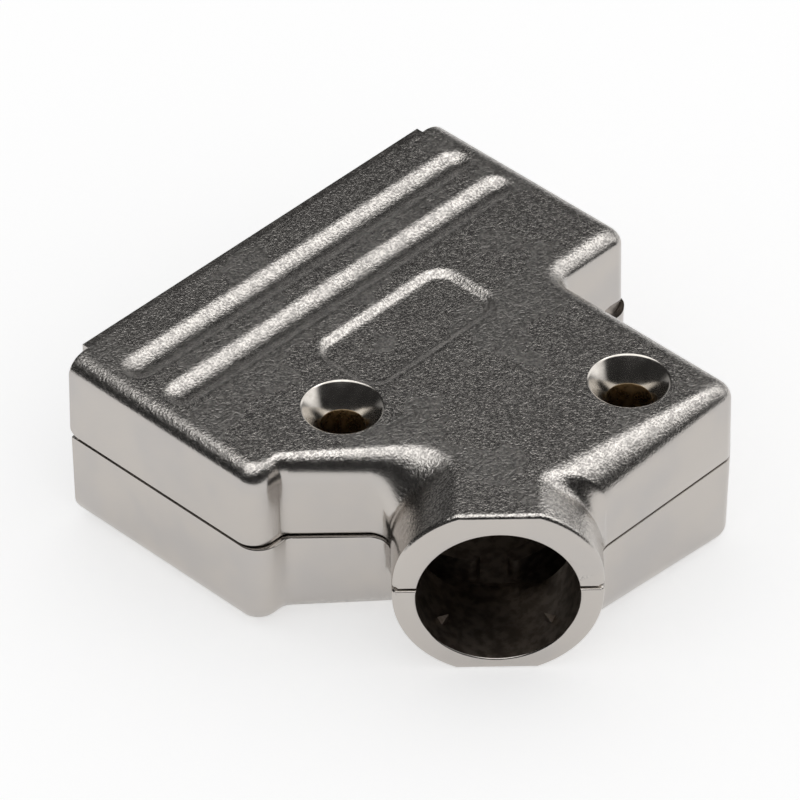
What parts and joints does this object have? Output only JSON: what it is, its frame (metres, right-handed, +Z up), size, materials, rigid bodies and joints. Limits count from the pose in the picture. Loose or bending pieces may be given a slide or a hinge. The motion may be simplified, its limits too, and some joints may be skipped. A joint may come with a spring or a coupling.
{
  "type": "d-sub connector hood",
  "caption": "Die-cast metal backshell for a D-sub connector in two halves, with a round cable collar at 45 degrees, two countersunk screw holes and a fluted top.",
  "frame": {"origin": "middle of the plan footprint, on the base face", "axes": "+Z up from the base to the fluted top, +Y towards the connector's mating side, +X to the right seen from the cable side; the cable leaves towards -X and -Y at 45 degrees"},
  "size_m": [0.0418, 0.0424, 0.0153],
  "materials": {
    "nickel_plate": "bright nickel plate on die-cast zinc: satin walls, grained top face, polished countersinks"
  },
  "bodies": {
    "root": {"upper_shell": "nickel_plate", "lower_shell": "nickel_plate"}
  },
  "joints": []
}
